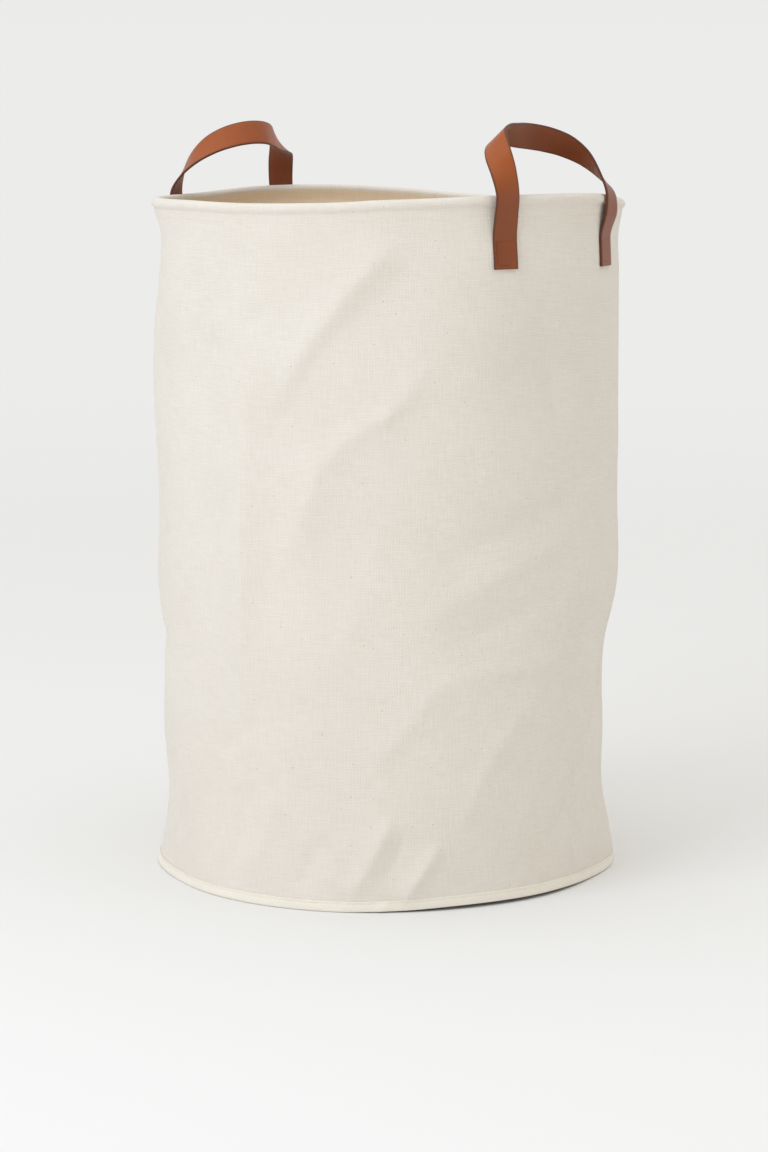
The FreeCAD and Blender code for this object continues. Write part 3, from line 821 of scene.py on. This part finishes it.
def sew(name, start, end, out, material, node, slot, thick=THREAD_R):
    """Makes a stitch from each start to each end; out points off the cloth."""
    start, end, out = (np.asarray(x, float) for x in (start, end, out))
    along = end - start
    size = np.linalg.norm(along, axis=1, keepdims=True)
    along = along / size
    side = np.cross(out, along)
    side /= np.linalg.norm(side, axis=1, keepdims=True)
    out = np.cross(along, side)
    points = []
    for share, girth, rise in STITCH_RINGS:
        middle = start + along * size * share + out * rise * thick
        for t in np.linspace(0, 2 * np.pi, CORNERS + 1)[:-1]:
            points.append(
                middle + (side * np.cos(t) + out * np.sin(t) * 0.8) * girth * thick
            )
    count = len(start)
    points = np.stack(points, 1).reshape(-1, 3)
    faces, uv = [], []
    for ring in range(len(STITCH_RINGS) - 1):
        for k in range(CORNERS):
            a, b = ring * CORNERS + k, ring * CORNERS + (k + 1) % CORNERS
            faces.append([a, b, b + CORNERS, a + CORNERS])
            for r, c in ((ring, k), (ring, k + 1), (ring + 1, k + 1), (ring + 1, k)):
                uv.append((STITCH_RINGS[r][0] * 4 * MM, c / CORNERS * 2 * MM))
    each = len(STITCH_RINGS) * CORNERS
    faces += [list(range(CORNERS))[::-1], list(range(each - CORNERS, each))]
    uv += [(0, 0)] * CORNERS * 2
    faces = [[v + each * n for v in face] for n in range(count) for face in faces]
    row = make_piece(name, points, faces, np.tile(uv, (count, 1)), material)
    if node:
        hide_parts(*node)
    print(name, count, "stitches")


def row_round(radius, height, pitch, gap):
    """Starts, ends and outward directions of a level row round the bin."""
    count = round(2 * np.pi * WALL_R / pitch)
    middle = SEAM_AZ + (np.arange(count) + 0.5) * 360 / count
    half = 180 / count * (1 - gap / pitch)
    start, end = (settle(middle + sign * half, radius, height) for sign in (-1, 1))
    turn = np.radians(middle)
    return start, end, np.stack([np.cos(turn), np.sin(turn), 0 * turn], -1)


# %% Sew the hem, the binding and the side seam
BINDING_ROW = sum(heights("base_binding_stitching")) / 2
sew("hem_stitches", *row_round(WALL_R - 0.3 * MM, HEM_ROW, 5 * MM, 1.1 * MM),
    CREAM_THREAD, ["hem_stitching"], "cream_thread")
start, end, out = row_round(hem_in + 0.3 * MM, HEM_ROW, 5 * MM, 1.1 * MM)
sew("hem_stitches_inside", start, end, -out, CREAM_THREAD, [], "cream_thread")
sew("base_binding_stitches",
    *row_round(BIND_R - 0.1 * MM, BINDING_ROW, 4.5 * MM, 1.0 * MM),
    CREAM_THREAD, ["base_binding_stitching"], "cream_thread")


def run_of_stitches(azimuth, radius, begin, finish, count, gap, sign=1):
    """(start, end, outward direction) of each stitch from one point of the wall
    to another, each given as (metres along the wall from the azimuth, height)."""
    out = sign * np.cos(np.radians(azimuth)), sign * np.sin(np.radians(azimuth)), 0
    found = []
    for k in range(count):
        ends = []
        for share in (gap, 1 - gap):
            along, z = np.array(begin) + np.subtract(finish, begin) * (k + share) / count
            ends.append(settle(azimuth + np.degrees(along / WALL_R), radius, z))
        found.append((*ends, out))
    return found


SEAM_HALF = np.degrees(5 * MM / WALL_R)
seam_ends = heights("side_seam_stitching")
seam_count = round((seam_ends[1] - seam_ends[0]) / (4.5 * MM))
stitches = []
for azimuth in (SEAM_AZ - SEAM_HALF, SEAM_AZ + SEAM_HALF):
    stitches += run_of_stitches(azimuth, WALL_R + 0.45 * MM, (0, seam_ends[0]),
                                (0, seam_ends[1]), seam_count, 0.12)
sew("side_seam_stitches", *zip(*stitches), CREAM_THREAD,
    ["side_seam_stitching"], "cream_thread")

# %% [markdown]
# ## The handles
#
# Each handle is one leather strap, 22 mm wide and 2 mm thick, whose two ends
# are sewn to the wall. It leaves the wall upright, rolls over at the front leg
# and crosses with its width nearly upright, flesh side out, because a flat
# strap can't turn a corner without twisting.
#
# A strap could be a curve with a flat profile, but a curve's twist is hard to
# steer. So the strap is a run of stations, each with a middle point and the
# direction of its width, read smoothly in between. Its cross section is a
# rounded rectangle whose faces get their own leather: grain, flesh and edge.

# %% Three faces of one hide
STRAP_LENGTH = 320 * MM  # about what each handle takes, end to end


def tanned_hide(name, light, dark, roughness, grain, relief, edge=None, painted_bend_light=None):
    """Leather; grain is the size of its pebbling and edge its rim colour.

    The bends, which face up into the overhead light, are painted lighter: painted light, with a
    little of the real lightening of waxed leather where it is bent.
    """
    hide, shader, add, place = new_material(name)
    split = add("SeparateXYZ", {0: place})
    cloud = add("TexNoise", {0: place, "Scale": 34, "Detail": 5, "Roughness": 0.6})
    colour = add("Mix", {0: cloud, 6: linear(dark), 7: linear(light)}, data_type="RGBA")
    if painted_bend_light:
        # Counted from the nearer foot, the bends start 48 mm up the strap.
        nearest = add("Math", {0: split.outputs["X"], 1: STRAP_LENGTH / 2}, operation="PINGPONG")
        bent = {0: nearest, 1: 48 * MM, 2: 88 * MM, 3: 0.0, 4: 0.8}
        bent = add("MapRange", bent, interpolation_type="SMOOTHSTEP")
        # Painted light: the upward-facing bends take the lighter colour, standing in for the
        # overhead light that falls on them.
        colour = add("Mix", {0: bent, 6: colour, 7: linear(painted_bend_light)}, data_type="RGBA")
    pebble = add("TexVoronoi", {0: place, "Scale": 1 / grain}, feature="DISTANCE_TO_EDGE")
    pores = add("TexNoise", {0: place, "Scale": 2.2 / grain, "Detail": 3})
    valley = add("MapRange", {0: pebble, 1: 0.0, 2: 0.12})
    creased = add("Mix", {0: valley, 6: linear(dark), 7: colour}, data_type="RGBA")
    finish = add("Mix", {0: 0.45, 6: colour, 7: creased}, data_type="RGBA")
    height = add("Math", {0: pores, 1: 0.6, 2: valley}, operation="MULTIPLY_ADD")
    bump = {"Height": height, "Distance": relief * MM, "Strength": 0.6}
    if edge:
        # The last 1.7 mm on each side has been burnished darker.
        middle = add("Math", {0: split.outputs["Y"]}, operation="ABSOLUTE")
        rim = add("MapRange", {0: middle, 1: 9.3 * MM, 2: 11 * MM})
        finish = add("Mix", {0: rim, 6: finish, 7: linear(edge)}, data_type="RGBA")
    gloss = {0: cloud, 3: roughness - 0.08, 4: roughness + 0.1}
    feed(shader, {
        "Base Color": finish, "Roughness": add("MapRange", gloss),
        "Normal": add("Bump", bump), "IOR": 1.5,
        "Specular IOR Level": 0.32, "Sheen Weight": 0.2, "Sheen Roughness": 0.4,
    })
    return hide


# A95622 is painted light: the lighter colour of the upward-facing bends.
GRAIN = tanned_hide("cowhide_vegetable_tanned_grain", "8E481D", "773A17", 0.44, 0.9 * MM,
                    0.05, edge="5E3219", painted_bend_light="A95622")
FLESH = tanned_hide("cowhide_vegetable_tanned_flesh", "8E4A25", "6E371A", 0.6, 1.1 * MM,
                    0.08, edge="4E2817")
EDGE = tanned_hide("cowhide_edge_burnished", "6B3A22", "4B2616", 0.5, 0.7 * MM, 0.05)

# %% Where each strap runs
# Stations between the feet: x, y and height above the rim of the middle in mm,
# then the direction of the width, for the handle at +X. The other handle is
# turned half way round the axis.
RIGHT_STATIONS = [
    (190.3, -65.0, -11, -0.28, -0.96, -0.03),
    (193.3, -66.8, 6, -0.24, -0.97, -0.06),
    (189.0, -67.2, 24, -0.46, -0.88, -0.15),
    (180.5, -64.8, 39.5, -0.76, -0.54, -0.36),
    (170.0, -55.2, 50, -0.74, -0.22, -0.64),
    (162.5, -39.7, 53.8, -0.68, -0.20, -0.71),
    (158.0, -22.4, 53, -0.54, -0.18, -0.82),
    (153.6, -5.0, 51.7, -0.35, -0.15, -0.93),
    (150.2, 12.5, 50.2, -0.29, -0.13, -0.95),
    (151.0, 30.0, 47.5, -0.43, -0.09, -0.90),
    (157.5, 45.6, 42.3, -0.65, 0.06, -0.76),
    (168.3, 56.3, 33, -0.77, 0.38, -0.52),
    (179.5, 62.2, 20, -0.65, 0.71, -0.28),
    (190.2, 65.3, 4, -0.38, 0.92, -0.07),
    (191.6, 65.3, -9, -0.28, 0.96, -0.02),
]
LEFT_STATIONS = [
    (190.4, -64.8, -18, -0.33, -0.94, 0.02),
    (194.3, -65.8, 0, -0.46, -0.89, 0.05),
    (191.6, -62.8, 17, -0.66, -0.75, -0.02),
    (182.1, -53.9, 29, -0.79, -0.53, -0.30),
    (171.3, -41.3, 35.8, -0.70, -0.27, -0.66),
    (161.5, -27.0, 40.4, -0.46, -0.04, -0.89),
    (152.5, -12.0, 44.6, -0.37, 0.04, -0.93),
    (146.4, 4.5, 47.5, -0.43, 0.01, -0.90),
    (146.4, 22.3, 47.7, -0.50, 0.02, -0.86),
    (152.3, 38.8, 44.5, -0.62, 0.08, -0.78),
    (162.4, 51.8, 37.6, -0.74, 0.25, -0.63),
    (173.9, 60.3, 27, -0.75, 0.51, -0.42),
    (184.6, 65.0, 13, -0.60, 0.77, -0.21),
    (191.5, 66.5, -3, -0.37, 0.93, -0.07),
    (190.4, 65.1, -20, -0.30, 0.95, -0.03),
]
FOOT_AZ = 18.8  # each foot's centre line, in degrees either side of the handle
FOOT_RUN = [521, 529, 537, 545]  # heights of the stations on a foot, in mm


def foot_stations(side, azimuth):
    """Stations of a sewn end, flat on the settled wall, from the bottom up."""
    turn = np.radians(azimuth)
    width = np.array([np.sin(turn), -np.cos(turn), 0.0]) * side
    lift = WALL_R + STRAP_GAUGE / 2 + 0.1 * MM
    return [(settle(azimuth, lift, height * MM), width) for height in FOOT_RUN]


def strap_path(stations, half_turn):
    """All stations of one handle, from one foot to the other, in metres."""
    flip = np.array([-1.0, -1.0, 1.0]) if half_turn else np.ones(3)
    base = 180.0 if half_turn else 0.0
    front = foot_stations(1, base - FOOT_AZ)
    rear = foot_stations(-1, base + FOOT_AZ)[::-1]
    middle = []
    for x, y, up, *width in stations:
        at = np.array([x, y, up]) * MM + (0, 0, RIM_TOP)
        middle.append((at * flip, np.array(width) * flip))
    return front + middle + rear


def read_path(path, spacing):
    """Points and width directions at even steps along the smooth path."""
    at = np.array([p for p, _ in path])
    width = np.array([w for _, w in path])
    knots = np.concatenate([[0], np.cumsum(np.linalg.norm(np.diff(at, axis=0), axis=1))])
    s = np.linspace(0, knots[-1], round(knots[-1] / spacing) + 1)
    share = line_weights(knots, s)
    points, widths = share @ at, share @ width
    ahead = np.gradient(points, s, axis=0)
    ahead /= np.linalg.norm(ahead, axis=1, keepdims=True)
    widths -= ahead * (widths * ahead).sum(1, keepdims=True)
    widths /= np.linalg.norm(widths, axis=1, keepdims=True)
    return s, points, widths, np.cross(ahead, widths)


# %% Cut the strap and bend it
def strap_section():
    """Points round the strap as (across, through, face): a soft rectangle."""
    half, thick, soft = STRAP_WIDTH / 2, STRAP_GAUGE / 2, 0.55 * MM
    across = np.linspace(half - soft, soft - half, 9)
    grain = [(w, thick, 0) for w in across]
    left = [(-half + 0.15 * MM, thick - 0.2 * MM, 2), (-half, 0, 2),
            (-half + 0.15 * MM, 0.2 * MM - thick, 2)]
    flesh = [(-w, -thick, 1) for w in across]
    right = [(-w, -t, 2) for w, t, _ in left]
    return grain + left + flesh + right


def face_outwards(leather):
    """Turns every face outwards."""
    bmesh.ops.recalc_face_normals(leather, faces=leather.faces)


def make_strap(name, path, nodes):
    """One strap from foot to foot, bending where it leaves the wall."""
    s, at, width, out = read_path(path, 2.5 * MM)
    if (out[0] * at[0]).sum() < 0:
        out = -out
    section = strap_section()
    count = len(section)
    points = np.concatenate([
        at[:, None] + width[:, None] * w + out[:, None] * t
        for w, t, _ in section
    ], axis=1).reshape(-1, 3)
    faces, uv, skin = [], [], []
    for i in range(len(s) - 1):
        for k in range(count):
            m = (k + 1) % count
            faces.append([i * count + k, i * count + m,
                          (i + 1) * count + m, (i + 1) * count + k])
            v0, v1 = section[k][0], section[m][0]
            if section[k][2] == 2 or section[m][2] == 2:
                v0, v1 = section[k][1], section[m][1]
            uv += [(s[i], v0), (s[i], v1), (s[i + 1], v1), (s[i + 1], v0)]
            skin.append(max(section[k][2], section[m][2]))
    for i, order in ((0, range(count)), (len(s) - 1, reversed(range(count)))):
        ring = [i * count + k for k in order]
        faces.append(ring)
        uv += [(section[v % count][1], section[v % count][0]) for v in ring]
        skin.append(2)
    strap = make_piece(name, points, faces, uv, [GRAIN, FLESH, EDGE], body=None)
    strap.data.polygons.foreach_set("material_index", skin)
    reshape(strap, face_outwards)
    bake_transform(strap)
    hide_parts(*nodes)
    print(name, round(s[-1] / MM), "mm long,", len(faces), "faces")


for side, stations in (("right", RIGHT_STATIONS), ("left", LEFT_STATIONS)):
    make_strap(f"{side}_handle_leather", strap_path(stations, side == "left"),
               [f"{side}_handle_{part}" for part in ("strap", "front_tab", "rear_tab")])

# %% [markdown]
# Each foot is held by a box of small brown stitches, 3 mm in from the edges of
# the leather, that go right through to a canvas patch inside.

# %% Box stitching and patches
PATCH_WIDTH = 30 * MM
PATCH_HALF = np.degrees(PATCH_WIDTH / 2 / INNER_R)
# Corners of the stitched box, as (offset along the wall, height).
BOX_LOW, BOX_HIGH = heights("right_handle_front_stitching")
BOX_HALF = (STRAP_WIDTH - 6 * MM) / 2
BOX = [(-BOX_HALF, BOX_LOW), (BOX_HALF, BOX_LOW),
       (BOX_HALF, BOX_HIGH), (-BOX_HALF, BOX_HIGH)]


def sew_box(name, azimuth, node):
    """Stitches round the box, outside on the leather and inside on the patch."""
    stitches = []
    for begin, finish in zip(BOX, BOX[1:] + BOX[:1]):
        count = round(np.hypot(*np.subtract(finish, begin)) / (2.6 * MM))
        for radius, sign in ((WALL_R + STRAP_GAUGE + 0.05 * MM, 1),
                             (BACK_IN - PATCH_GAUGE - 0.05 * MM, -1)):
            stitches += run_of_stitches(azimuth, radius, begin, finish, count, 0.14, sign)
    sew(name, *zip(*stitches), BROWN_THREAD, [node], "brown_thread", thick=0.27 * MM)


PATCH_LOW, PATCH_HIGH = heights("right_handle_front_patch")
PATCH_ROWS = ladder((PATCH_LOW / MM, 3), (PATCH_HIGH / MM, 1))
for side, base in (("right", 0), ("left", 180)):
    for end_name, sign in (("front", -1), ("rear", 1)):
        azimuth = base + sign * FOOT_AZ
        stem = f"{side}_handle_{end_name}"
        sew_box(f"{stem}_stitches", azimuth, f"{stem}_stitching")
        patch = carry_round(
            f"{stem}_patch_cloth", slab(BACK_IN - PATCH_GAUGE, BACK_IN - SEAT, PATCH_ROWS),
            CANVAS, azimuths=azimuth + PATCH_HALF * np.linspace(-1, 1, 13),
        )
        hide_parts(f"{stem}_patch")

# %% [markdown]
# ## Floor, light and camera
#
# The bin stands on a pale seamless floor in a white studio. Most of the light
# comes from everywhere, as it does between white walls. One large soft box on
# the left models the round of the wall and throws a faint shadow back and to
# the right, where a weak low one keeps the shaded side from going dull. The
# floor fades into the background with distance, so no horizon shows.

# %% A floor that fades out
def studio_floor(name):
    """White paper sweep, clear beyond a few metres."""
    paper, shader, add, place = new_material(name)
    place = place.node.outputs["Object"]
    away = add("VectorMath", {0: place}, operation="LENGTH")
    clear = {0: away, 1: 1.0, 2: 4.3, 3: 1.0, 4: 0.0}
    clear = add("MapRange", clear, interpolation_type="SMOOTHSTEP")
    feed(shader, {
        "Base Color": linear("E7E6E4"), "Alpha": clear,
        "Roughness": 0.95, "Specular IOR Level": 0.1,
    })
    return paper


FLOOR_HALF = 4.4
floor_mesh = bpy.data.meshes.new("studio_floor")
floor_shape = bmesh.new()
bmesh.ops.create_grid(floor_shape, x_segments=8, y_segments=8, size=FLOOR_HALF)
floor_shape.to_mesh(floor_mesh)
floor_shape.free()
floor_mesh.materials.append(studio_floor("paper_sweep_matt_white"))
floor = new_object("studio_floor", floor_mesh)
floor.location.z = CAD_BOX[0].z - 0.3 * MM

# %% Light
def white_studio(name):
    """Pale walls all round, dimmer half way up and bright overhead."""
    room = bpy.data.worlds.new(name)
    room.use_nodes = True
    add = partial(add_node, room.node_tree)
    place = add("TexCoord").outputs["Generated"]
    up = add("SeparateXYZ", {0: place}).outputs["Z"]
    walls = add("MapRange", {0: up, 1: 0.0, 2: 0.35})
    paint = {0: walls, 6: linear("ECECEB"), 7: linear("BEBEBD")}
    feed(room.node_tree.nodes["Background"], {
        "Color": add("Mix", paint, data_type="RGBA"),
        "Strength": add("MapRange", {0: up, 1: 0.55, 2: 0.95, 3: 1.0, 4: 3.0}),
    })
    return room


bpy.context.scene.world = white_studio("white_studio")
bpy.context.scene.view_settings.view_transform = "Standard"


def soft_box(name, azimuth, distance, height, size, power, aim, tint):
    """A square area light that faces the bin's axis at the height of `aim`."""
    lamp = bpy.data.lights.new(name, "AREA")
    lamp.shape = "SQUARE"
    lamp.size = size
    lamp.energy = power
    lamp.color = linear(tint)[:3]
    box = new_object(name, lamp)
    turn = np.radians(azimuth)
    box.location = (distance * np.cos(turn), distance * np.sin(turn), height)
    look = box.location.copy()
    look.z -= aim
    box.rotation_euler = look.to_track_quat("Z", "Y").to_euler()
    box.visible_camera = False


soft_box("key_soft_box", azimuth=-90, distance=3.1, height=1.9, size=2.1,
         power=52, aim=1.6, tint="E6F1FF")
soft_box("low_right_fill", azimuth=18, distance=1.9, height=0.25, size=0.8,
         power=2.0, aim=0.05, tint="FFFAF2")

# %% Camera
# Degrees, and metres from the bin's axis and off the floor.
VIEW_AZ, PITCH, YAW, ROLL = -46.9, 8.64, 0.081, -0.22
VIEW_DISTANCE, EYE_HEIGHT = 3.053, 0.7141
camera_data = bpy.data.cameras.new("camera")
camera_data.lens = 111.7
camera_data.sensor_width = 36.0
camera = new_object("camera", camera_data)
turn = np.radians(VIEW_AZ)
camera.location = (VIEW_DISTANCE * np.cos(turn), VIEW_DISTANCE * np.sin(turn), EYE_HEIGHT)
camera.rotation_mode = "XYZ"
camera.rotation_euler = np.radians((90 - PITCH, ROLL, VIEW_AZ + 90 + YAW))
bpy.context.scene.camera = camera

# %% [markdown]
# ## Finish
#
# The box of the engineering model is printed.

# %% Print the box of the engineering model
print("CAD box", [[round(v, 4) for v in c] for c in CAD_BOX])
